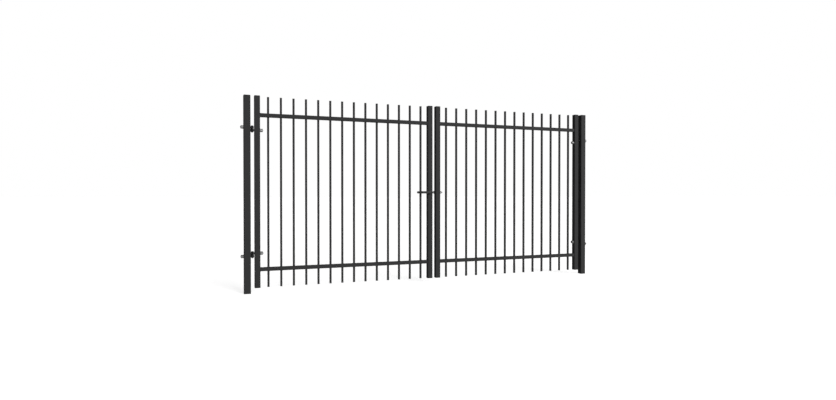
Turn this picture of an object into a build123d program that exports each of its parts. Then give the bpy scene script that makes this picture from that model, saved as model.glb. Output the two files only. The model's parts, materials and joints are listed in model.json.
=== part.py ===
from build123d import *
import os

# A two-leaf driveway gate of square steel tube on two square posts.
# Millimetres, +Z up. The origin is the middle of the left post's foot. The gate runs
# along +X to the right post, its front faces -Y, and both leaves swing back to +Y.

# Opening, levels and gaps of the whole gate
clear_opening = 3600.0       # between the two posts
top_level = 1800.0           # tops of the post and stile caps above the ground
stile_foot_level = 48.0      # undersides of the stiles
hinge_gap = 34.0             # post face to hinge stile
meeting_gap = 36.0           # between the two meeting stiles

# Posts
post_size = 60.0
post_wall = 3.0
post_corner = 6.0
post_foot_plate = 4.0        # plate that closes the post at the ground
post_cap_height = 9.0
post_cap_slope = 4.0         # rim of the cap

# Stiles, the two uprights of each leaf
stile_size = 50.0
stile_wall = 2.5
stile_corner = 4.5
stile_cap_height = 8.0
stile_cap_slope = 3.5

# Rails
rail_size = 35.0
rail_wall = 2.0
rail_corner = 4.0
top_rail_drop = 177.0        # its centre line below the top level
bottom_rail_rise = 167.5     # its centre line above the feet of the stiles

# Bars, which run through both rails
bar_size = 18.0
bar_wall = 1.5
bar_edge = 1.2               # bevel along the bar's corners
bars_per_leaf = 14
bar_margin = 73.25           # from a stile's face to the centre of the bar beside it
bar_head_drop = 9.0          # below the top level
bar_foot_rise = 2.0          # above the feet of the stiles
punch_clearance = 0.1        # between a bar and the edge of its punched hole

# Plugs of the caps, and the plates that close the other tube ends
plug_clearance = 0.15
plug_depth = 14.0
plug_wall = 2.0
plate_clearance = 0.1
plate_thickness = 2.0

# Hinges: eye bolts through post and stile, eye over eye on one pin
rod_radius = 8.0
rod_hole_clearance = 0.2
rod_tail = 12.0              # thread that stands beyond the nut
eye_radius = 11.0
pin_radius = 6.0
pin_setback = 14.0           # the pin stands behind the rods' centre line
pin_clearance = 0.05
eye_gap = 0.3                # the leaf's eye runs this far from what it turns against
upper_eye_drop = 291.0       # upper post eyes below the top level
lower_eye_rise = 290.0       # lower post eyes above the feet of the stiles
eye_step = 25.0              # from a post's eye to its leaf's eye
pin_head_radius = 9.5
pin_head_height = 4.0
pin_head_slope = 1.5
pin_ring_radius = 8.5
pin_ring_height = 1.5
pin_tail = 3.5

# Hinge nuts
nut_flats = 24.0
nut_height = 16.0
nut_clearance = 0.1

# Latch in the left meeting stile
latch_level = 921.0
case_depth = 41.0            # behind the face plate
case_width = 16.0
case_height = 84.0
case_clearance = 0.2
face_plate_width = 24.0
face_plate_height = 124.0
face_plate_thickness = 3.0
end_flat = 0.5               # left straight on each side of a rounded end
bolt_width = 12.0
bolt_height = 20.0
bolt_length = 21.0
bolt_projection = 14.0       # beyond the face plate at rest
bolt_bevel = 7.0
bolt_clearance = 0.3
bolt_travel = 12.0           # drawn back by the lever
bolt_end_gap = 1.0           # behind the bolt when it is drawn back

# Lever handles and the spindle that joins them
spindle_side = 8.0
spindle_clearance = 0.05
spindle_hole_radius = 6.0
rose_radius = 21.0
rose_height = 7.0
rose_slope = 2.0
neck_radius = 8.5
neck_clearance = 0.4
lever_reach = 111.0          # spindle to the tip of the grip
lever_standoff = 33.0        # stile face to the back of the grip
grip_depth = 12.0
grip_height = 23.0
grip_slope = 3.5
socket_depth = 26.0

# Keep on the right meeting stile, drawn tight by its own stud
keep_projection = 13.0
keep_width = 22.0
keep_height = 28.0
keep_slope = 1.5
keep_floor = 3.0             # metal behind the pocket
pocket_clearance = 1.0       # round the latch bolt
stud_radius = 6.0
stud_tail = 12.0
stud_nut_flats = 19.0
stud_nut_height = 12.0

# Places that follow from the sizes above
right_post_x = clear_opening + post_size
leaf_width = (clear_opening - 2 * hinge_gap - meeting_gap) / 2
leaf_start = post_size / 2 + hinge_gap
stile_centres = {
    "left_hinge_stile": leaf_start + stile_size / 2,
    "left_meeting_stile": leaf_start + leaf_width - stile_size / 2,
    "right_meeting_stile": right_post_x - leaf_start - leaf_width + stile_size / 2,
    "right_hinge_stile": right_post_x - leaf_start - stile_size / 2,
}
latch_x = stile_centres["left_meeting_stile"]
latch_face_x = latch_x + stile_size / 2
keep_face_x = stile_centres["right_meeting_stile"] - stile_size / 2
pin_axis_x = {"left": post_size / 2 + hinge_gap / 2, "right": right_post_x - post_size / 2 - hinge_gap / 2}
outward = {"left": -1, "right": 1}
top_rail_level = top_level - top_rail_drop
bottom_rail_level = stile_foot_level + bottom_rail_rise
bar_head_level = top_level - bar_head_drop
bar_foot_level = stile_foot_level + bar_foot_rise
upper_eye_level = top_level - upper_eye_drop
lower_eye_level = stile_foot_level + lower_eye_rise
eye_height = eye_step - eye_gap
# The upper leaf eyes hang below the post's, the lower ones stand above it, so the leaf can't be lifted off.
hinges = {
    "upper": (upper_eye_level, upper_eye_level - eye_step),
    "lower": (lower_eye_level, lower_eye_level + eye_step),
}


def square_tube(size, wall, corner):
    inner = size - 2 * wall
    return RectangleRounded(size, size, corner) - Rectangle(inner, inner)


def bar_tube():
    outer = Rectangle(bar_size, bar_size)
    return chamfer(outer.vertices(), bar_edge) - Rectangle(bar_size - 2 * bar_wall, bar_size - 2 * bar_wall)


def upright(x, size, wall, corner, foot, head):
    return Pos(x, 0, foot) * extrude(square_tube(size, wall, corner), head - foot)


def along_x(x, y, z, direction):
    return Plane(origin=(x, y, z), x_dir=(0, 1, 0), z_dir=(direction, 0, 0))


def hole_along_x(x, z, radius, length):
    return Pos(x, 0, z) * Rot(0, 90, 0) * Cylinder(radius, length)


def plug_cap(size, wall, corner, height, slope):
    # Low cap with a sloped rim and a hollow plug below it; its seat on the tube is at z = 0.
    cap = extrude(RectangleRounded(size, size, corner), height)
    cap = chamfer(cap.faces().sort_by(Axis.Z)[-1].edges(), slope)
    outer = size - 2 * wall - 2 * plug_clearance
    ring = Rectangle(outer, outer) - Rectangle(outer - 2 * plug_wall, outer - 2 * plug_wall)
    return cap + extrude(ring, -plug_depth)


def end_plate(size, wall):
    # Plate let into a tube's end, flush with it; z = 0 is the outer face, pointing up.
    side = size - 2 * wall - 2 * plate_clearance
    return extrude(Rectangle(side, side), -plate_thickness)


def post(x):
    tube = upright(x, post_size, post_wall, post_corner, 0, top_level - post_cap_height)
    tube += Pos(x, 0, 0) * extrude(Rectangle(post_size - post_wall, post_size - post_wall), post_foot_plate)
    for post_level, _ in hinges.values():
        tube -= hole_along_x(x, post_level, rod_radius + rod_hole_clearance, 2 * post_size)
    return tube


def stile(name):
    x = stile_centres[name]
    tube = upright(x, stile_size, stile_wall, stile_corner, stile_foot_level, top_level - stile_cap_height)
    if "hinge" in name:
        for _, leaf_level in hinges.values():
            tube -= hole_along_x(x, leaf_level, rod_radius + rod_hole_clearance, 2 * stile_size)
    elif name.startswith("left"):
        tube -= Pos(latch_face_x, 0, latch_level) * Box(
            stile_size, case_width + 2 * case_clearance, case_height + 2 * case_clearance)
        tube -= Pos(x, 0, latch_level) * Rot(90, 0, 0) * Cylinder(neck_radius + neck_clearance, 2 * stile_size)
    else:
        tube -= hole_along_x(x, latch_level, stud_radius + rod_hole_clearance, 2 * stile_size)
    return tube


def stile_places(side):
    return [x for name, x in stile_centres.items() if name.startswith(side)]


def stile_caps(side):
    cap = plug_cap(stile_size, stile_wall, stile_corner, stile_cap_height, stile_cap_slope)
    return Compound([Pos(x, 0, top_level - stile_cap_height) * cap for x in stile_places(side)])


def bar_places(side):
    start = min(stile_places(side)) + stile_size / 2 + bar_margin
    pitch = (leaf_width - 2 * stile_size - 2 * bar_margin) / (bars_per_leaf - 1)
    return [start + i * pitch for i in range(bars_per_leaf)]


def rail(side, level):
    start = min(stile_places(side)) + stile_size / 2
    tube = extrude(along_x(start, 0, level, 1) * square_tube(rail_size, rail_wall, rail_corner),
                   leaf_width - 2 * stile_size)
    punch = Box(bar_size + 2 * punch_clearance, bar_size + 2 * punch_clearance, 2 * rail_size)
    return tube - [Pos(x, 0, level) * punch for x in bar_places(side)]


def bars(side):
    tube = extrude(bar_tube(), bar_head_level - bar_foot_level)
    return Compound([Pos(x, 0, bar_foot_level) * tube for x in bar_places(side)])


def end_plates(side):
    # Plates that close the bars at both ends and the stiles at the foot.
    plate = end_plate(bar_size, bar_wall)
    plates = [Pos(x, 0, bar_head_level) * plate for x in bar_places(side)]
    plates += [Pos(x, 0, bar_foot_level) * Rot(180, 0, 0) * plate for x in bar_places(side)]
    foot = Rot(180, 0, 0) * end_plate(stile_size, stile_wall)
    return Compound(plates + [Pos(x, 0, stile_foot_level) * foot for x in stile_places(side)])


def eye_bolt(pin_x, level, direction, carrier_size):
    # Threaded rod through its carrier, with the eye welded against the rod's back.
    reach = hinge_gap / 2 + carrier_size + nut_height + rod_tail
    rod = extrude(along_x(pin_x, 0, level, direction) * Circle(rod_radius), reach)
    eye = Pos(pin_x, pin_setback, level) * Cylinder(eye_radius, eye_height)
    bore = Pos(pin_x, pin_setback, level) * Cylinder(pin_radius + pin_clearance, 2 * eye_height)
    return rod + eye - bore


def hinge_pin(pin_x, post_level, leaf_level):
    # Headed pin with its retaining ring; head and ring touch only the post's eye.
    high = max(post_level, leaf_level) + eye_height / 2 + (eye_gap if leaf_level > post_level else 0)
    low = min(post_level, leaf_level) - eye_height / 2 - (eye_gap if leaf_level < post_level else 0)
    foot = low - pin_ring_height - pin_tail
    shaft = Pos(0, 0, foot) * extrude(Circle(pin_radius), high - foot)
    head = Pos(0, 0, high) * extrude(Circle(pin_head_radius), pin_head_height)
    head = chamfer(head.faces().sort_by(Axis.Z)[-1].edges(), pin_head_slope)
    ring = Pos(0, 0, low - pin_ring_height) * extrude(Circle(pin_ring_radius), pin_ring_height)
    return Pos(pin_x, pin_setback, 0) * (shaft + head + ring)


def hex_nut(flats, height, bore_radius):
    # Hexagon nut with its seat at z = 0.
    return extrude(RegularPolygon(flats / 2, 6, major_radius=False) - Circle(bore_radius), height)


def rod_nuts(carrier_x, direction, carrier_size, levels):
    nut = hex_nut(nut_flats, nut_height, rod_radius + nut_clearance)
    seat_x = carrier_x + direction * carrier_size / 2
    return Compound([along_x(seat_x, 0, level, direction) * nut for level in levels])


def latch_case():
    # Case in the stile, its face plate, the bolt's chamber and the hole for the spindle.
    case = Pos(latch_face_x - case_depth / 2, 0, latch_level) * Box(case_depth, case_width, case_height)
    plate = RectangleRounded(face_plate_width, face_plate_height, face_plate_width / 2 - end_flat)
    case += extrude(along_x(latch_face_x, 0, latch_level, 1) * plate, face_plate_thickness)
    chamber_width = bolt_width + 2 * bolt_clearance
    chamber_height = bolt_height + 2 * bolt_clearance
    chamber_depth = bolt_length - bolt_projection - face_plate_thickness + bolt_travel + bolt_end_gap
    case -= Pos(latch_face_x, 0, latch_level) * Box(2 * chamber_depth, chamber_width, chamber_height)
    case -= Pos(latch_x, 0, latch_level) * Rot(90, 0, 0) * Cylinder(spindle_hole_radius, 2 * case_width)
    return case


def latch_bolt():
    nose_x = latch_face_x + face_plate_thickness + bolt_projection
    bolt = Pos(nose_x - bolt_length / 2, 0, latch_level) * Box(bolt_length, bolt_width, bolt_height)
    front_corner = bolt.edges().filter_by(Axis.Z).sort_by(Axis.X)[-2:].sort_by(Axis.Y)[0]
    return chamfer(front_corner, bolt_bevel)


def rose(face):
    # face is -1 for the front of the stile and 1 for its back
    disc = extrude(Circle(rose_radius), rose_height)
    disc = chamfer(disc.faces().sort_by(Axis.Z)[-1].edges(), rose_slope)
    disc -= Cylinder(neck_radius + neck_clearance, 3 * rose_height)
    return lever_plane(face) * disc


def lever_plane(face):
    return Plane(origin=(latch_x, face * stile_size / 2, latch_level), x_dir=(-1, 0, 0), z_dir=(0, face, 0))


def lever(face):
    # Round neck and a rounded grip that points away from the meeting edge.
    neck = extrude(Circle(neck_radius), lever_standoff + grip_depth / 2)
    heel = grip_height / 2
    outline = Pos((lever_reach - heel) / 2, 0) * RectangleRounded(lever_reach + heel, grip_height, heel - end_flat)
    grip = Pos(0, 0, lever_standoff) * extrude(outline, grip_depth)
    grip = chamfer(grip.faces().sort_by(Axis.Z)[-1].edges() + grip.faces().sort_by(Axis.Z)[0].edges(), grip_slope)
    socket_side = spindle_side + 2 * spindle_clearance
    socket = extrude(Rectangle(socket_side, socket_side), socket_depth)
    return lever_plane(face) * (neck + grip - socket)


def spindle():
    length = stile_size + 2 * socket_depth
    return Pos(latch_x, 0, latch_level) * Box(spindle_side, length, spindle_side)


def keep():
    # Cup that takes the bolt, on a stud through the stile.
    cup = Pos(keep_face_x - keep_projection / 2, 0, latch_level) * Box(keep_projection, keep_width, keep_height)
    cup = chamfer(cup.faces().sort_by(Axis.X)[0].edges(), keep_slope)
    pocket_width = bolt_width + 2 * pocket_clearance
    pocket_height = bolt_height + 2 * pocket_clearance
    cup -= Pos(keep_face_x - keep_projection, 0, latch_level) * Box(
        2 * (keep_projection - keep_floor), pocket_width, pocket_height)
    stud_length = stile_size + stud_nut_height + stud_tail
    stud = extrude(along_x(keep_face_x, 0, latch_level, 1) * Circle(stud_radius), stud_length)
    return cup + stud


def keep_nut():
    nut = hex_nut(stud_nut_flats, stud_nut_height, stud_radius + nut_clearance)
    return along_x(keep_face_x + stile_size, 0, latch_level, 1) * nut


os.makedirs("parts", exist_ok=True)
nodes = {}
post_cap = plug_cap(post_size, post_wall, post_corner, post_cap_height, post_cap_slope)
for side, post_x in (("left", 0.0), ("right", right_post_x)):
    nodes[side + "_post"] = post(post_x)
    nodes[side + "_post_cap"] = Pos(post_x, 0, top_level - post_cap_height) * post_cap
    nodes[side + "_hinge_stile"] = stile(side + "_hinge_stile")
    nodes[side + "_meeting_stile"] = stile(side + "_meeting_stile")
    nodes[side + "_stile_caps"] = stile_caps(side)
    nodes[side + "_top_rail"] = rail(side, top_rail_level)
    nodes[side + "_bottom_rail"] = rail(side, bottom_rail_level)
    nodes[side + "_bars"] = bars(side)
    nodes[side + "_end_plates"] = end_plates(side)
    pin_x = pin_axis_x[side]
    for place, (post_level, leaf_level) in hinges.items():
        nodes[f"{side}_{place}_post_eye"] = eye_bolt(pin_x, post_level, outward[side], post_size)
        nodes[f"{side}_{place}_leaf_eye"] = eye_bolt(pin_x, leaf_level, -outward[side], stile_size)
        nodes[f"{side}_{place}_pin"] = hinge_pin(pin_x, post_level, leaf_level)
    nodes[side + "_post_nuts"] = rod_nuts(post_x, outward[side], post_size, [pair[0] for pair in hinges.values()])
    nodes[side + "_leaf_nuts"] = rod_nuts(stile_centres[side + "_hinge_stile"], -outward[side], stile_size,
                                          [pair[1] for pair in hinges.values()])
nodes["latch_case"] = latch_case()
nodes["latch_bolt"] = latch_bolt()
nodes["spindle"] = spindle()
nodes["front_rose"] = rose(-1)
nodes["back_rose"] = rose(1)
nodes["front_lever"] = lever(-1)
nodes["back_lever"] = lever(1)
nodes["keep"] = keep()
nodes["keep_nut"] = keep_nut()

for name, solid in nodes.items():
    export_step(solid, f"parts/{name}.step")
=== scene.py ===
import json
import math
import bmesh
import bpy
from mathutils import Matrix, Vector


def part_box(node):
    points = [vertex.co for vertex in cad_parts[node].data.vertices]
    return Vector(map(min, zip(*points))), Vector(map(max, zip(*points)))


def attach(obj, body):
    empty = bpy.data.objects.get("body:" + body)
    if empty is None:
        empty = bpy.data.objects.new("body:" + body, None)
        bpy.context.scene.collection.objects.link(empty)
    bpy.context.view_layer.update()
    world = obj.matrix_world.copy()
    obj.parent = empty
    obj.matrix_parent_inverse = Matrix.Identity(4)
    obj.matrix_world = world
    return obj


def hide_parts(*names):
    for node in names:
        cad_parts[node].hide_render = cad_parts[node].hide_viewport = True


# Dresses the two-leaf driveway gate: powder coat, caps, threaded hinges, latch and levers.
# The model's frame is in metres, with +X along the gate and -Y its front. The pieces' sizes are
# in millimetres, and a part is scaled to metres just before it becomes a piece.

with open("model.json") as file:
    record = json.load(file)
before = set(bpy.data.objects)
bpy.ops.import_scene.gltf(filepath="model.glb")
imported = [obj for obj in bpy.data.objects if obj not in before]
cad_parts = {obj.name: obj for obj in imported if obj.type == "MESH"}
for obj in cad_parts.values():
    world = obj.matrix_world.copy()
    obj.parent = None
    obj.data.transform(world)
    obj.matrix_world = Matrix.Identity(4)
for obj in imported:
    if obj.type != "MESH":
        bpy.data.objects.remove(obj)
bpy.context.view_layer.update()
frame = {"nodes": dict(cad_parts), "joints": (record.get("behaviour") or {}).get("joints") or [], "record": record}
nodes = frame["nodes"]
joints = {joint["name"]: joint for joint in frame["joints"]}
mm = 0.001
sides = ("left", "right")
outward = {"left": -1, "right": 1}
axisX, axisY, axisZ = Vector((1, 0, 0)), Vector((0, 1, 0)), Vector((0, 0, 1))
print("frame loaded:", len(nodes), "nodes")


# Mesh helpers. A part is a pair of lists, its vertices and its faces.

meshing = {"mergeDistance": 0.004, "turnedSegments": 48, "cornerSteps": 6}
smoothAngle = {"turned": 35, "thread": 30, "nut": 25, "lever": 50, "bevel": 50, "bead": 60}  # degrees
squareCorners = ((1, 1), (-1, 1), (-1, -1), (1, -1))


def editMesh(piece, change):
    # runs one change on the mesh, then turns its faces outward
    bm = bmesh.new()
    bm.from_mesh(piece.data)
    change(bm)
    bmesh.ops.recalc_face_normals(bm, faces=bm.faces)
    bm.to_mesh(piece.data)
    bm.free()


def mergeClose(bm):
    distance = meshing["mergeDistance"] * mm
    bmesh.ops.remove_doubles(bm, verts=bm.verts, dist=distance)
    bmesh.ops.dissolve_degenerate(bm, edges=bm.edges, dist=distance)


def fillHoles(bm):
    bmesh.ops.holes_fill(bm, edges=[edge for edge in bm.edges if edge.is_boundary], sides=0)


def smoothMesh(piece, angle):
    piece.data.shade_smooth()
    piece.data.set_sharp_from_angle(angle=math.radians(angle))


def newPiece(name, part, material, body, angle=smoothAngle["turned"]):
    mesh = bpy.data.meshes.new(name)
    mesh.from_pydata([tuple(point) for point in part[0]], [], part[1])
    piece = bpy.data.objects.new(name, mesh)
    bpy.context.scene.collection.objects.link(piece)
    editMesh(piece, mergeClose)
    mesh.materials.append(material)
    smoothMesh(piece, angle)
    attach(piece, body)
    return piece


def bridgeRings(rings, loop=False):
    # equal rings become one skin: it closes on itself, or a flat face closes each end
    count = len(rings[0])
    verts = [point for ring in rings for point in ring]
    faces = []
    for row in range(len(rings) if loop else len(rings) - 1):
        a, b = row * count, (row + 1) % len(rings) * count
        for i in range(count):
            j = (i + 1) % count
            faces.append((a + i, a + j, b + j, b + i))
    if not loop:
        faces.append(tuple(reversed(range(count))))
        faces.append(tuple(range(len(verts) - count, len(verts))))
    return verts, faces


def joinParts(parts):
    verts, faces = [], []
    for partVerts, partFaces in parts:
        start = len(verts)
        verts += partVerts
        faces += [tuple(start + i for i in face) for face in partFaces]
    return verts, faces


def moved(part, matrix):
    return [matrix @ Vector(point) for point in part[0]], part[1]


def scaled(part):
    return [Vector(point) * mm for point in part[0]], part[1]


def alongX(x, z, direction):
    # turns a part that stands on +Z so that it points along +X or -X
    turn = Matrix.Rotation(math.radians(90 * direction), 4, "Y")
    return Matrix.Translation((x, 0, z)) @ turn


def circleAngles(count):
    return [2 * math.pi * i / count for i in range(count)]


def quarterAngles(steps):
    # from just above nothing to a right angle
    return [math.pi / 2 * i / steps for i in range(1, steps + 1)]


def circleRing(radius, height, segments):
    return [(radius * math.cos(t), radius * math.sin(t), height) for t in circleAngles(segments)]


def lathe(profile, segments=meshing["turnedSegments"]):
    # one ring for each (radius, height) of the profile
    return [circleRing(radius, height, segments) for radius, height in profile]


def roundedSquare(half, corner):
    points = []
    steps = meshing["cornerSteps"]
    for quarter, (sideX, sideY) in enumerate(squareCorners):
        for i in range(steps + 1):
            t = math.radians(90 * quarter + 90 * i / steps)
            points.append((sideX * (half - corner) + corner * math.cos(t),
                           sideY * (half - corner) + corner * math.sin(t)))
    return points


# Finishes. Each has two close colours and a roughness that drift over it, and a fine grain
# whose depth is in metres.

coatLook = {
    "darkColour": (0.0285, 0.0285, 0.0290), "lightColour": (0.0322, 0.0322, 0.0327),
    "driftScale": 3.0, "roughness": (0.68, 0.78), "specular": 0.12, "metallic": 0.0,
    "grainScale": 850.0, "grainStrength": 0.8, "grainDepth": 0.00018,
}
capLook = {
    "darkColour": (0.0200, 0.0200, 0.0205), "lightColour": (0.0235, 0.0235, 0.0240),
    "driftScale": 30.0, "roughness": (0.58, 0.68), "specular": 0.20, "metallic": 0.0,
    "grainScale": 1300.0, "grainStrength": 0.7, "grainDepth": 0.00010,
}
zincLook = {
    "darkColour": (0.135, 0.135, 0.138), "lightColour": (0.24, 0.24, 0.235),
    "driftScale": 90.0, "roughness": (0.34, 0.50), "specular": 0.5, "metallic": 0.85,
    "grainScale": 1200.0, "grainStrength": 0.4, "grainDepth": 0.00005,
}
steelLook = {
    "darkColour": (0.38, 0.38, 0.38), "lightColour": (0.48, 0.48, 0.47),
    "driftScale": 60.0, "roughness": (0.26, 0.36), "specular": 0.5, "metallic": 0.95,
    "grainScale": 700.0, "grainStrength": 0.4, "grainDepth": 0.00004, "stretch": (1, 1, 0.04),
}
darkSteelLook = {
    "darkColour": (0.0110, 0.0110, 0.0115), "lightColour": (0.0200, 0.0200, 0.0205),
    "driftScale": 120.0, "roughness": (0.42, 0.56), "specular": 0.25, "metallic": 0.3,
    "grainScale": 1300.0, "grainStrength": 0.4, "grainDepth": 0.00005,
}
# steel for the latch nose, darkened well below its own satin tone: painted shade of the narrow gap between the
# meeting stiles
gapShadedSteelLook = {
    "darkColour": (0.024, 0.024, 0.024), "lightColour": (0.042, 0.042, 0.041),
    "driftScale": 80.0, "roughness": (0.34, 0.48), "specular": 0.4, "metallic": 0.85,
    "grainScale": 800.0, "grainStrength": 0.4, "grainDepth": 0.00004, "stretch": (0.05, 1, 1),
}
leverLook = {
    "darkColour": (0.0120, 0.0120, 0.0125), "lightColour": (0.0155, 0.0155, 0.0160),
    "driftScale": 40.0, "roughness": (0.44, 0.54), "specular": 0.22, "metallic": 0.0,
    "grainScale": 1500.0, "grainStrength": 0.4, "grainDepth": 0.00005,
}
noiseLook = {"driftDetail": 4.0, "grainDetail": 2.0, "darkUpTo": 0.35, "lightFrom": 0.65}


def newMaterial(name):
    material = bpy.data.materials.new(name)
    material.use_nodes = True
    tree = material.node_tree
    return material, tree.nodes, tree.links, tree.nodes["Principled BSDF"]


def noiseNode(nodeList, links, scale, detail, stretch):
    place = nodeList.new("ShaderNodeTexCoord")
    mapping = nodeList.new("ShaderNodeMapping")
    mapping.inputs["Scale"].default_value = stretch
    noise = nodeList.new("ShaderNodeTexNoise")
    noise.inputs["Scale"].default_value = scale
    noise.inputs["Detail"].default_value = detail
    links.new(place.outputs["Object"], mapping.inputs["Vector"])
    links.new(mapping.outputs["Vector"], noise.inputs["Vector"])
    return noise.outputs["Fac"]


def finishMaterial(name, look):
    material, nodeList, links, shader = newMaterial(name)
    stretch = look.get("stretch", (1, 1, 1))
    drift = noiseNode(nodeList, links, look["driftScale"], noiseLook["driftDetail"], stretch)
    ramp = nodeList.new("ShaderNodeValToRGB")
    darkEnd, lightEnd = ramp.color_ramp.elements
    darkEnd.position, lightEnd.position = noiseLook["darkUpTo"], noiseLook["lightFrom"]
    darkEnd.color, lightEnd.color = (*look["darkColour"], 1), (*look["lightColour"], 1)
    links.new(drift, ramp.inputs["Fac"])
    links.new(ramp.outputs["Color"], shader.inputs["Base Color"])
    gloss = nodeList.new("ShaderNodeMapRange")
    gloss.inputs["To Min"].default_value, gloss.inputs["To Max"].default_value = look["roughness"]
    links.new(drift, gloss.inputs["Value"])
    links.new(gloss.outputs["Result"], shader.inputs["Roughness"])
    grain = noiseNode(nodeList, links, look["grainScale"], noiseLook["grainDetail"], stretch)
    bump = nodeList.new("ShaderNodeBump")
    bump.inputs["Strength"].default_value = look["grainStrength"]
    bump.inputs["Distance"].default_value = look["grainDepth"]
    links.new(grain, bump.inputs["Height"])
    links.new(bump.outputs["Normal"], shader.inputs["Normal"])
    shader.inputs["Metallic"].default_value = look["metallic"]
    shader.inputs["Specular IOR Level"].default_value = look["specular"]
    return material


powderCoat = finishMaterial("powderCoat", coatLook)
capPlastic = finishMaterial("capPlastic", capLook)
zincPlate = finishMaterial("zincPlate", zincLook)
satinSteel = finishMaterial("satinSteel", steelLook)
darkSteel = finishMaterial("darkSteel", darkSteelLook)
gapShadedSteel = finishMaterial("gapShadedSteel", gapShadedSteelLook)
blackCoat = finishMaterial("blackCoat", leverLook)
slotMaterials = {
    "powder_coat": powderCoat, "black_plastic": capPlastic, "zinc_steel": zincPlate,
    "stainless_steel": satinSteel, "black_metal": blackCoat,
}
slotOf = {part["node"]: part["material_slot"] for part in frame["record"]["subparts"]}
for nodeName, nodeObject in nodes.items():
    nodeObject.data.materials.clear()
    nodeObject.data.materials.append(slotMaterials[slotOf[nodeName]])
print("materials done")


# Caps of posts and stiles: shadow seam, straight rim, rounded shoulder, slightly crowned top

postCap = {"corner": 6.0, "rim": 5.0, "shoulder": 4.6, "crown": 1.2, "seam": 0.5}
stileCap = {"corner": 4.5, "rim": 4.2, "shoulder": 4.0, "crown": 1.0, "seam": 0.4}
capShape = {
    "seamRise": 0.8,                # share of the seam
    "shoulderSteps": 7,
    "crownAt": (0.35, 0.7, 0.92),   # shares of the way from the shoulder to the middle
    "cornerShrink": 0.4, "leastCorner": 1.0,
    "mostCorner": 0.9,              # share of half the width
}


def capPart(low, high, seatZ, topZ, look):
    # low and high are corners of the box, in metres, whose width and middle the cap takes
    middle, half = (low + high) / 2, (high.x - low.x) / 2 / mm
    height = topZ - seatZ
    rimTop = height - look["crown"] - look["shoulder"]
    profile = [(look["seam"], 0.0), (0.0, look["seam"] * capShape["seamRise"])]
    for t in [0.0] + quarterAngles(capShape["shoulderSteps"]):
        profile.append((look["rim"] * (1 - math.cos(t)), rimTop + look["shoulder"] * math.sin(t)))
    inner = half - look["rim"]
    for share in capShape["crownAt"]:
        profile.append((look["rim"] + inner * share, height - look["crown"] * (1 - share) ** 2))
    rings = []
    for inset, z in profile:
        size = half - inset
        corner = max(look["corner"] - inset * capShape["cornerShrink"], capShape["leastCorner"])
        ring = roundedSquare(size, min(corner, size * capShape["mostCorner"]))
        rings.append([(middle.x + x * mm, middle.y + y * mm, (seatZ + z) * mm) for x, y in ring])
    return bridgeRings(rings)


for side in sides:
    low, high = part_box(side + "_post_cap")
    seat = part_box(side + "_post")[1].z / mm
    part = capPart(low, high, seat, high.z / mm, postCap)
    cap = newPiece(side + "PostCap", part, capPlastic, "posts")
    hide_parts(side + "_post_cap")
    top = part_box(side + "_stile_caps")[1].z / mm
    parts = []
    for stile in ("hinge", "meeting"):
        low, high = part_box(f"{side}_{stile}_stile")
        parts.append(capPart(low, high, high.z / mm, top, stileCap))
    caps = newPiece(side + "StileCaps", joinParts(parts), capPlastic, side + "_leaf")
    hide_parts(side + "_stile_caps")
print("caps done")


# Threaded rods, with a plain shank first and a chamfered end

hingeThread = {"pitch": 2.0, "depth": 1.15, "plainEnd": 10.0, "chamfer": 1.4}
threadShape = {
    "segments": 32, "flank": 0.15, "shank": 0.1, "taper": 0.5,   # shares of depth and chamfer
    "footShrink": 0.3, "footRise": 0.22,                         # shares of radius and plain end
}


def threadedPart(length, radius, look):
    # stands on +Z; one turn of thread has a root, a flank, a crest and a flank
    segments, depth, chamfer = threadShape["segments"], look["depth"], look["chamfer"]
    flank, taper = radius - depth * threadShape["flank"], threadShape["taper"]
    pattern = (radius - depth, flank, radius, flank)
    threadLength = length - look["plainEnd"]
    rows = (math.ceil(threadLength / look["pitch"]) + 2) * len(pattern)
    verts, faces = [], []
    for row in range(rows + 1):
        for i, t in enumerate(circleAngles(segments)):
            z = (row / len(pattern) - 1 + i / segments) * look["pitch"]
            r = pattern[row % len(pattern)]
            if z <= 0:
                z, r = 0.0, radius - depth * threadShape["shank"]
            toEnd = threadLength - z
            if toEnd < chamfer:
                r = min(r, radius - depth - (chamfer - max(toEnd, 0)) * taper)
            if toEnd <= 0:
                z, r = threadLength, radius - depth - chamfer * taper
            verts.append((r * math.cos(t), r * math.sin(t), look["plainEnd"] + z))
    for row in range(rows):
        for i in range(segments):
            a, d = row * segments + i, (row + 1) * segments + i
            b, c = a + 1, d + 1
            if i == segments - 1:   # the seam runs on into the next turn
                if row + 1 + len(pattern) > rows:
                    continue
                b, c = (row + len(pattern)) * segments, (row + 1 + len(pattern)) * segments
            faces.append((a, b, c, d))
    # the shank's foot: a ring at its full width, then a smaller one that ends it
    start = len(verts)
    verts += circleRing(radius, look["plainEnd"] * threadShape["footRise"], segments)
    verts += circleRing(radius * (1 - threadShape["footShrink"]), 0.0, segments)
    for i in range(segments):
        j = (i + 1) % segments
        faces.append((i, j, start + j, start + i))
        faces.append((start + i, start + j, start + segments + j, start + segments + i))
    return verts, faces


def newRod(name, rod, body):
    piece = newPiece(name, scaled(rod), darkSteel, body, smoothAngle["thread"])
    editMesh(piece, fillHoles)
    return piece


# Hexagon nuts with turned corners, a flange nut first and a jam nut on its tail

hingeNut = {"flats": 27.0, "height": 16.0, "flange": 3.0, "flangeRadius": 18.0, "bore": 8.05}
hingeJamNut = {"flats": 27.0, "height": 8.5, "flange": 0.0, "bore": 8.05}
nutShape = {
    "segments": 96, "jamGap": 0.2, "seatEdge": 0.6, "topEdge": 0.7, "rimEdge": 0.5, "rimTop": 1.4,
    "flangeFoot": 2.0, "cornerRoom": 0.3, "cornerWidth": 0.965, "cornerSlope": 30,
    "cornerSteps": (0.0, 0.2, 0.5, 0.9, 1.3),
}


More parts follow.
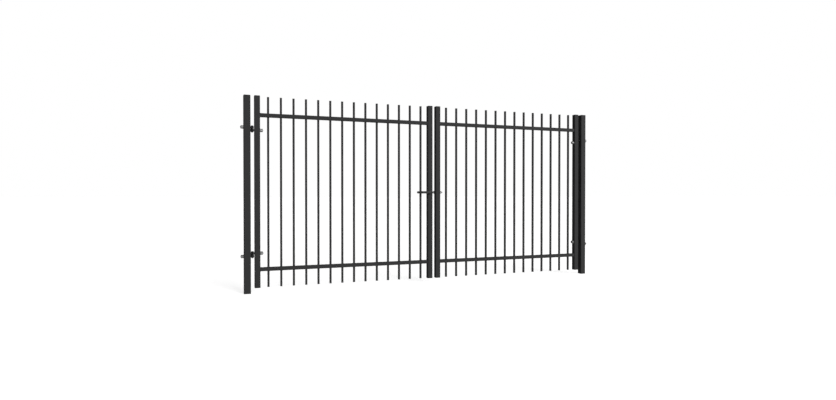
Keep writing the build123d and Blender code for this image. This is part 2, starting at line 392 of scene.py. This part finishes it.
def nutPart(look):
    # the seat is at z = 0 and the bore is open
    flats, height, bore = look["flats"] / 2, look["height"], look["bore"]
    slope = math.tan(math.radians(nutShape["cornerSlope"]))
    rings = []

    def hexRadius(t):
        return flats / math.cos(t % (math.pi / 3) - math.pi / 6)

    def addHexRing(z, cone=math.inf):
        radii = [(min(hexRadius(t), cone), t) for t in circleAngles(nutShape["segments"])]
        rings.append([(r * math.cos(t), r * math.sin(t), z) for r, t in radii])

    def addRing(radius, z):
        rings.append(circleRing(radius, z, nutShape["segments"]))

    addRing(bore + nutShape["seatEdge"], 0.0)
    if look["flange"]:
        rim, edge = look["flangeRadius"], nutShape["rimEdge"]
        corner = flats / math.cos(math.pi / 6)
        addRing(rim - edge, 0.0)
        addRing(rim, edge)
        addRing(rim, nutShape["rimTop"])
        addRing(max(corner + nutShape["cornerRoom"], rim - nutShape["flangeFoot"]), look["flange"])
        addHexRing(look["flange"] + nutShape["cornerRoom"])
    else:
        for rise in nutShape["cornerSteps"]:
            addHexRing(rise, flats * nutShape["cornerWidth"] + rise / slope)
    for drop in reversed(nutShape["cornerSteps"]):
        addHexRing(height - drop, flats * nutShape["cornerWidth"] + drop / slope)
    addRing(bore + nutShape["topEdge"], height)
    addRing(bore, height - nutShape["topEdge"])
    addRing(bore, nutShape["seatEdge"])
    return bridgeRings(rings, loop=True)


def nutPair(seatX, level, direction, nut, jamNut):
    jamX = seatX + direction * (nut["height"] + nutShape["jamGap"])
    return [moved(nutPart(nut), alongX(seatX, level, direction)),
            moved(nutPart(jamNut), alongX(jamX, level, direction))]


# Weld beads, with the ripples of their pools

bead = {"sides": 8, "rippleLength": 2.6, "rippleDepth": 0.14, "endSize": 0.35, "endGrowth": 0.3,
        "reference": (0.31, 0.52, 0.79)}   # any direction that no bead runs along


def beadPart(path, radius, closed=True, beadSides=bead["sides"]):
    count = len(path)
    rings = []
    travelled = 0.0
    for i, point in enumerate(path):
        before = path[i - 1] if closed or i > 0 else point
        after = path[(i + 1) % count] if closed or i < count - 1 else point
        tangent = (after - before).normalized()
        across = tangent.cross(Vector(bead["reference"])).normalized()
        up = tangent.cross(across)
        travelled += (point - path[i - 1]).length if i else 0.0
        ripple = 0.5 + 0.5 * math.cos(2 * math.pi * travelled / bead["rippleLength"])
        r = radius * (1 - bead["rippleDepth"] * ripple)
        if not closed:
            r *= min(1.0, bead["endSize"] + min(i, count - 1 - i) * bead["endGrowth"])
        rings.append([point + (across * math.cos(t) + up * math.sin(t)) * r for t in circleAngles(beadSides)])
    return bridgeRings(rings, loop=closed)


# Hinges: eyes on threaded rods, one over the other on a headed pin

eye = {"radius": 14.0, "chamfer": 1.4, "bore": 6.05, "boreEdge": 0.5, "rodRadius": 8.0, "setback": 14.0,
       "bead": 1.6, "beadSteps": 26, "beadStop": 3}   # the bead stops 3 degrees short
pin = {
    "radius": 6.0, "centre": 0.01, "tail": 4.5, "tailExtra": 3.0, "tailEdge": 1.0,
    "ringRadius": 11.5, "ringHeight": 3.5, "ringEdge": 0.3,
    "headRadius": 11.5, "headHeight": 4.0, "headExtra": 2.0, "headEdge": 0.4,
    "domeDrop": 2.2, "domeInset": 2.6, "domeRise": 1.9, "domeSteps": 6, "domeFlat": 4.0, "domeCrown": 0.08,
}


def eyePart(pinX, level, direction, height):
    # the eye round the pin, and the bead that joins it to its rod
    half, r, edge = height / 2, eye["radius"], eye["chamfer"]
    bore, boreEdge = eye["bore"], eye["boreEdge"]
    profile = [(bore + boreEdge, -half), (r - edge, -half), (r, -half + edge), (r, half - edge),
               (r - edge, half), (bore + boreEdge, half), (bore, half - boreEdge), (bore, -half + boreEdge)]
    ring = bridgeRings(lathe(profile), loop=True)
    ring = moved(ring, Matrix.Translation((pinX, eye["setback"], level)))
    widest = math.degrees(math.acos((eye["setback"] - r) / eye["rodRadius"])) - eye["beadStop"]
    path = []
    for i in range(eye["beadSteps"] + 1):
        t = math.radians(-widest + 2 * widest * i / eye["beadSteps"])
        y = eye["rodRadius"] * math.cos(t)
        reach = math.sqrt(max(r * r - (y - eye["setback"]) ** 2, 0.0))
        path.append(Vector((pinX + direction * reach, y, level + eye["rodRadius"] * math.sin(t))))
    return joinParts([ring, beadPart(path, eye["bead"], closed=False)])


def pinPart(low, high):
    # chamfered tail, retaining ring in its groove, shaft and domed head; z from low to high
    r, ring, head = pin["radius"], pin["ringRadius"], pin["headRadius"]
    tailEdge, ringEdge, headEdge = pin["tailEdge"], pin["ringEdge"], pin["headEdge"]
    ringLow = low + pin["tail"]
    ringTop = ringLow + pin["ringHeight"]
    headLow = high - (pin["headHeight"] + pin["headExtra"])
    domeLow = high - pin["domeDrop"]
    profile = [(pin["centre"], low), (r - tailEdge, low), (r, low + tailEdge), (r, ringLow),
               (ring - ringEdge, ringLow), (ring, ringLow + ringEdge),
               (ring, ringTop - ringEdge), (ring - ringEdge, ringTop), (r, ringTop),
               (r, headLow), (head - headEdge, headLow), (head, headLow + headEdge), (head, domeLow)]
    for t in quarterAngles(pin["domeSteps"])[:-1]:
        profile.append((head - pin["domeInset"] * (1 - math.cos(t)), domeLow + pin["domeRise"] * math.sin(t)))
    profile += [(pin["domeFlat"], high - pin["domeCrown"]), (pin["centre"], high)]
    return bridgeRings(lathe(profile))


def middleLevel(low, high):
    return (low.z + high.z) / 2 / mm


for side in sides:
    pinX = joints[side + "_swing"]["pos_m"][0] / mm
    carriers = (("post", "posts", outward[side]), ("leaf", side + "_leaf", -outward[side]))
    for place in ("upper", "lower"):
        for carrier, body, direction in carriers:
            nodeName = f"{side}_{place}_{carrier}_eye"
            low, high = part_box(nodeName)
            level = middleLevel(low, high)
            tailX = (high.x if direction > 0 else low.x) / mm
            rod = threadedPart(abs(tailX - pinX), eye["rodRadius"], hingeThread)
            rodName = side + place.capitalize() + carrier.capitalize()
            piece = newRod(rodName + "Rod", moved(rod, alongX(pinX, level, direction)), body)
            ring = eyePart(pinX, level, direction, (high.z - low.z) / mm)
            newPiece(rodName + "Eye", scaled(ring), darkSteel, body)
            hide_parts(nodeName)
        low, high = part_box(f"{side}_{place}_pin")
        shaft = pinPart(low.z / mm - pin["tailExtra"], high.z / mm + pin["headExtra"])
        shaft = moved(shaft, Matrix.Translation((pinX, eye["setback"], 0)))
        piece = newPiece(side + place.capitalize() + "Pin", scaled(shaft), darkSteel, "posts")
        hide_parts(f"{side}_{place}_pin")
    for carrier, body, direction in carriers:
        low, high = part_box(f"{side}_{carrier}_nuts")
        seatX = (low.x if direction > 0 else high.x) / mm
        parts = []
        for place in ("upper", "lower"):
            level = middleLevel(*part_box(f"{side}_{place}_{carrier}_eye"))
            parts += nutPair(seatX, level, direction, hingeNut, hingeJamNut)
        piece = newPiece(side + carrier.capitalize() + "Nuts", scaled(joinParts(parts)), zincPlate, body,
                         smoothAngle["nut"])
        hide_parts(f"{side}_{carrier}_nuts")
print("hinges done")


# Welds where the rails meet the stiles and where the bars pass through the rails

weld = {"railBead": 2.2, "railInset": 0.6, "barBead": 1.1, "barGap": 0.1, "barSides": 6,
        "step": 1.3, "barStep": 1.4}   # the bars' step is a multiple of the rails'
barsPerLeaf = 14


def squarePath(centre, half, axisA, axisB, step):
    corners = [centre + axisA * half * a + axisB * half * b for a, b in squareCorners]
    path = []
    for start, end in zip(corners, corners[1:] + corners[:1]):
        count = max(int((end - start).length / step), 2)
        path += [start.lerp(end, i / count) for i in range(count)]
    return path


for side in sides:
    barsLow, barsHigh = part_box(side + "_bars")
    barHalf = (barsHigh.y - barsLow.y) / 2 / mm
    firstBar, lastBar = barsLow.x / mm + barHalf, barsHigh.x / mm - barHalf
    parts = []
    for rail in ("top", "bottom"):
        low, high = (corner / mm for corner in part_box(f"{side}_{rail}_rail"))
        centreZ, half = (low.z + high.z) / 2, (high.z - low.z) / 2
        for x in (low.x + weld["railInset"], high.x - weld["railInset"]):
            path = squarePath(Vector((x, 0, centreZ)), half, axisY, axisZ, weld["step"])
            parts.append(beadPart(path, weld["railBead"]))
        for k in range(barsPerLeaf):
            x = firstBar + (lastBar - firstBar) * k / (barsPerLeaf - 1)
            for z in (low.z - weld["barGap"], high.z + weld["barGap"]):
                step = weld["step"] * weld["barStep"]
                path = squarePath(Vector((x, 0, z)), barHalf + weld["barGap"], axisX, axisY, step)
                parts.append(beadPart(path, weld["barBead"], beadSides=weld["barSides"]))
    newPiece(side + "Welds", scaled(joinParts(parts)), powderCoat, side + "_leaf",
             smoothAngle["bead"])
print("welds done")


# Levers and roses on the left meeting stile

lever = {
    "neckRadius": 8.5, "neckAt": (3.0, 8.0, 14.0, 20.0), "gripHeight": 23.0, "gripDepth": 12.0,
    "gripOut": 39.0, "gripAt": (0.1, 0.25, 0.45, 0.65, 0.8), "reach": 111.0, "droop": 2.0,
    "bend": 13.0, "bendSteps": 10, "tipLength": 9.0, "tipSteps": 8, "tipSize": 0.25,
    "neckPower": 2.0, "gripPower": 0.9, "points": 28,   # a higher power makes a squarer section
}
rose = {
    "radius": 21.0, "height": 7.0, "bore": 8.9, "boreEdge": 0.6, "edge": 2.2, "edgeSteps": 5, "segments": 64,
    "groove": ((13.2, 0.0), (12.9, 0.35), (12.3, 0.35), (12.0, 0.0)),   # radius and depth
}
handlePoint = joints["lever_turn"]["pos_m"]
latchX, latchZ = handlePoint[0] / mm, handlePoint[2] / mm
stileLow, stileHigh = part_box("left_meeting_stile")
stileHalf = (stileHigh.y - stileLow.y) / 2 / mm


def ovalRing(centre, acrossAxis, across, tall, power):
    # an ellipse at power 2, and nearer to a rectangle above it
    ring = []
    for t in circleAngles(lever["points"]):
        c, s = math.cos(t), math.sin(t)
        a = math.copysign(abs(c) ** (2 / power), c) * across / 2
        b = math.copysign(abs(s) ** (2 / power), s) * tall / 2
        ring.append(centre + acrossAxis * a + axisZ * b)
    return ring


def leverPart(face):
    # round neck, a swept bend and a flat oval grip that points to the hinge side
    out, along = Vector((0, face, 0)), -axisX
    foot = Vector((latchX, face * stileHalf, latchZ))
    bend, gripOut, droop = lever["bend"], lever["gripOut"], lever["droop"]
    reach, tipLength = lever["reach"], lever["tipLength"]
    straight = reach - bend
    neckSize = 2 * lever["neckRadius"]
    rings = []

    def addRing(centre, tangent, blend, shrink=1.0):
        across = (neckSize * (1 - blend) + lever["gripDepth"] * blend) * shrink
        tall = (neckSize * (1 - blend) + lever["gripHeight"] * blend) * shrink
        power = lever["neckPower"] + lever["gripPower"] * blend
        rings.append(ovalRing(centre, tangent.cross(axisZ), across, tall, power))

    for distance in (*lever["neckAt"], gripOut - bend):
        addRing(foot + out * distance, out, 0.0)
    for i, t in enumerate(quarterAngles(lever["bendSteps"]), 1):
        centre = foot + out * (gripOut - bend + bend * math.sin(t)) + along * bend * (1 - math.cos(t))
        tangent = (out * math.cos(t) + along * math.sin(t)).normalized()
        addRing(centre, tangent, i / lever["bendSteps"])
    for share in (*lever["gripAt"], (straight - tipLength) / straight):
        centre = foot + out * (gripOut - droop * share ** 2) + along * (bend + straight * share)
        addRing(centre, along, 1.0)
    for t in quarterAngles(lever["tipSteps"])[:-1]:
        centre = foot + out * (gripOut - droop) + along * (reach - tipLength * (1 - math.sin(t)))
        addRing(centre, along, 1.0, lever["tipSize"] + (1 - lever["tipSize"]) * math.cos(t))
    return bridgeRings(rings)


def rosePart():
    r, h, edge = rose["radius"], rose["height"], rose["edge"]
    bore, boreEdge = rose["bore"], rose["boreEdge"]
    profile = [(bore, 0.0), (r, 0.0), (r, h - edge)]
    for t in quarterAngles(rose["edgeSteps"]):
        profile.append((r - edge * (1 - math.cos(t)), h - edge + edge * math.sin(t)))
    profile += [(radius, h - depth) for radius, depth in rose["groove"]]
    profile += [(bore + boreEdge, h), (bore, h - boreEdge)]
    return bridgeRings(lathe(profile, rose["segments"]), loop=True)


for face, name in ((-1, "front"), (1, "back")):
    piece = newPiece(name + "LeverGrip", scaled(leverPart(face)), blackCoat, "handle",
                     smoothAngle["lever"])
    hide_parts(name + "_lever")
    turn = Matrix.Rotation(math.radians(-90 * face), 4, "X")
    seat = Matrix.Translation((latchX, face * stileHalf, latchZ)) @ turn
    plate = scaled(moved(rosePart(), seat))
    piece = newPiece(name + "RosePlate", plate, blackCoat, "left_leaf")
    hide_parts(name + "_rose")
print("levers done")


# Face plate screws, low round heads with a hexagon socket

screw = {
    "radius": 3.6, "height": 1.3, "segments": 24, "inset": 9.0, "socket": 1.5, "socketFloor": 0.25,
    "head": ((0.0, 0.0), (0.0, 0.5), (0.35, 0.9), (0.8, 1.0)),   # inset and share of the height
}


def screwPart():
    height = screw["height"]
    profile = [(screw["radius"] - inset, height * share) for inset, share in screw["head"]]
    rings = lathe(profile, screw["segments"])
    socket = []
    for t in circleAngles(screw["segments"]):
        r = screw["socket"] / math.cos((t + math.pi / 6) % (math.pi / 3) - math.pi / 6)
        socket.append((r * math.cos(t), r * math.sin(t)))
    for z in (height, height * screw["socketFloor"]):
        rings.append([(x, y, z) for x, y in socket])
    return bridgeRings(rings)


plateLow, plateHigh = (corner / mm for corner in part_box("latch_case"))
parts = [moved(screwPart(), alongX(plateHigh.x, z, 1))
         for z in (plateHigh.z - screw["inset"], plateLow.z + screw["inset"])]
newPiece("facePlateScrews", scaled(joinParts(parts)), satinSteel, "left_leaf")


# Latch nose in the gap, and the keep's cup that takes it

nose = {"slope": 7.0, "bevel": 0.7}
cup = {"projection": 13.0, "width": 22.0, "height": 28.0, "pocketWidth": 14.0, "pocketHeight": 22.0,
       "floor": 3.0, "bevel": 0.8}
bevelLook = {"segments": 2, "profile": 0.6, "sharperThan": 25}   # the last in degrees


def bevelEdges(piece, width):
    def bevelSharp(bm):
        limit = math.radians(bevelLook["sharperThan"])
        sharp = [e for e in bm.edges if len(e.link_faces) == 2 and e.calc_face_angle() > limit]
        bmesh.ops.bevel(bm, geom=sharp, offset=width * mm, segments=bevelLook["segments"],
                        profile=bevelLook["profile"], affect="EDGES")

    editMesh(piece, bevelSharp)
    smoothMesh(piece, smoothAngle["bevel"])


def rectangleRing(x, width, height):
    corners = ((-1, -1), (1, -1), (1, 1), (-1, 1))
    return [(x, sideY * width / 2, latchZ + sideZ * height / 2) for sideY, sideZ in corners]


low, high = (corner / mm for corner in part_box("latch_bolt"))
outline = [(low.x, low.y), (high.x - nose["slope"], low.y), (high.x, low.y + nose["slope"]),
           (high.x, high.y), (low.x, high.y)]
rings = [[(x, y, z) for x, y in outline] for z in (low.z, high.z)]
# the nose takes the steel darkened with painted shade of the gap between the stiles
piece = newPiece("latchNose", scaled(bridgeRings(rings)), gapShadedSteel, "latch")
bevelEdges(piece, nose["bevel"])
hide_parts("latch_bolt")

low, high = (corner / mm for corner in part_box("keep"))
seatX = low.x + cup["projection"]
rings = [rectangleRing(seatX, cup["width"], cup["height"]),
         rectangleRing(low.x, cup["width"], cup["height"]),
         rectangleRing(low.x, cup["pocketWidth"], cup["pocketHeight"]),
         rectangleRing(seatX - cup["floor"], cup["pocketWidth"], cup["pocketHeight"])]
piece = newPiece("keepCup", scaled(bridgeRings(rings)), darkSteel, "right_leaf")
bevelEdges(piece, cup["bevel"])
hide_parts("keep")


# The keep's stud through the right meeting stile, with its nuts

stud = {"radius": 6.0, "extraTail": 6.0}
studThread = {"pitch": 1.75, "depth": 1.0, "plainEnd": 4.0, "chamfer": 1.2}
studNut = {"flats": 22.0, "height": 12.0, "flange": 2.4, "flangeRadius": 15.0, "bore": 6.05}
studJamNut = {"flats": 22.0, "height": 6.0, "flange": 0.0, "bore": 6.05}

rod = threadedPart(high.x - seatX + stud["extraTail"], stud["radius"], studThread)
newRod("keepStud", moved(rod, alongX(seatX, latchZ, 1)), "right_leaf")
low, high = (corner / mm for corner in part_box("keep_nut"))
parts = nutPair(low.x, latchZ, 1, studNut, studJamNut)
piece = newPiece("keepStudNut", scaled(joinParts(parts)), zincPlate, "right_leaf",
                 smoothAngle["nut"])
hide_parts("keep_nut")
print("latch done")


# Floor, light and camera

studio = {
    "floorSize": 400.0, "floorColour": (0.80, 0.80, 0.80), "floorRoughness": 0.9, "floorGlow": 0.72,
    "worldFill": 0.10, "glossFill": 0.34,
    "sunFrom": (0.30, -0.90, 0.34), "sunStrength": 2.3, "sunSoftness": 28.0,
    "backFrom": (0.25, 0.90, 0.36), "backStrength": 0.7, "backSoftness": 40.0,
    "sidePlace": (6.6, -4.6, 2.8), "sideAim": (3.4, 0.0, 0.9), "sideSize": 2.5, "sidePower": 115.0,
}
view = {"imageWidth": 836.0, "focalPixels": 571.2, "sensor": 36.0, "clipEnd": 1000.0,
        "place": (-0.4293, -5.3867, 0.9017), "yaw": 0.3703, "pitch": -0.0101}


def mathNode(nodeList, links, operation, first, second):
    # second is a number or another node's output
    node = nodeList.new("ShaderNodeMath")
    node.operation = operation
    links.new(first, node.inputs[0])
    if isinstance(second, float):
        node.inputs[1].default_value = second
    else:
        links.new(second, node.inputs[1])
    return node.outputs[0]


def lightPathWhite(nodeList, links):
    # white for what the camera sees, weaker in reflections, nothing for other light
    path = nodeList.new("ShaderNodeLightPath").outputs
    gloss = mathNode(nodeList, links, "MULTIPLY", path["Is Glossy Ray"], studio["glossFill"])
    seen = mathNode(nodeList, links, "ADD", path["Is Camera Ray"], gloss)
    return mathNode(nodeList, links, "MAXIMUM", seen, path["Is Transmission Ray"])


def makeWorld():
    world = bpy.data.worlds.new("studioWorld")
    world.use_nodes = True
    nodeList, links = world.node_tree.nodes, world.node_tree.links
    background = nodeList["Background"]
    background.inputs["Color"].default_value = (1, 1, 1, 1)
    seen = lightPathWhite(nodeList, links)
    strength = mathNode(nodeList, links, "MAXIMUM", seen, studio["worldFill"])
    links.new(strength, background.inputs["Strength"])
    bpy.context.scene.world = world


def makeFloor():
    half = studio["floorSize"] / 2
    mesh = bpy.data.meshes.new("studioFloor")
    mesh.from_pydata([(-half, -half, 0), (half, -half, 0), (half, half, 0), (-half, half, 0)],
                     [], [(0, 1, 2, 3)])
    floor = bpy.data.objects.new("studioFloor", mesh)
    bpy.context.scene.collection.objects.link(floor)
    material, nodeList, links, shader = newMaterial("floorWhite")
    shader.inputs["Base Color"].default_value = (*studio["floorColour"], 1)
    shader.inputs["Roughness"].default_value = studio["floorRoughness"]
    shader.inputs["Specular IOR Level"].default_value = 0.0
    shader.inputs["Emission Color"].default_value = (1, 1, 1, 1)
    glow = mathNode(nodeList, links, "MULTIPLY", lightPathWhite(nodeList, links), studio["floorGlow"])
    links.new(glow, shader.inputs["Emission Strength"])
    mesh.materials.append(material)


def addLamp(data, place, direction):
    lamp = bpy.data.objects.new(data.name, data)
    lamp.location = place
    lamp.rotation_euler = direction.to_track_quat("-Z", "Y").to_euler()
    bpy.context.scene.collection.objects.link(lamp)


def makeSun(name, comesFrom, strength, softness):
    data = bpy.data.lights.new(name, "SUN")
    data.energy = strength
    data.angle = math.radians(softness)
    addLamp(data, (0, 0, 0), -Vector(comesFrom))


def makeSideLamp():
    data = bpy.data.lights.new("sideLamp", "AREA")
    data.shape = "SQUARE"
    data.size = studio["sideSize"]
    data.energy = studio["sidePower"]
    addLamp(data, studio["sidePlace"], Vector(studio["sideAim"]) - Vector(studio["sidePlace"]))


def makeCamera():
    data = bpy.data.cameras.new("photoCamera")
    data.sensor_width = view["sensor"]
    data.lens = view["sensor"] * view["focalPixels"] / view["imageWidth"]
    data.clip_end = view["clipEnd"]
    camera = bpy.data.objects.new("photoCamera", data)
    camera.location = view["place"]
    camera.rotation_euler = (math.pi / 2 + view["pitch"], 0.0, -view["yaw"])
    bpy.context.scene.collection.objects.link(camera)
    bpy.context.scene.camera = camera


makeWorld()
makeFloor()
makeSun("keySun", studio["sunFrom"], studio["sunStrength"], studio["sunSoftness"])
makeSun("backSun", studio["backFrom"], studio["backStrength"], studio["backSoftness"])
makeSideLamp()
makeCamera()
bpy.context.scene.view_settings.view_transform = "Standard"
print("studio done")
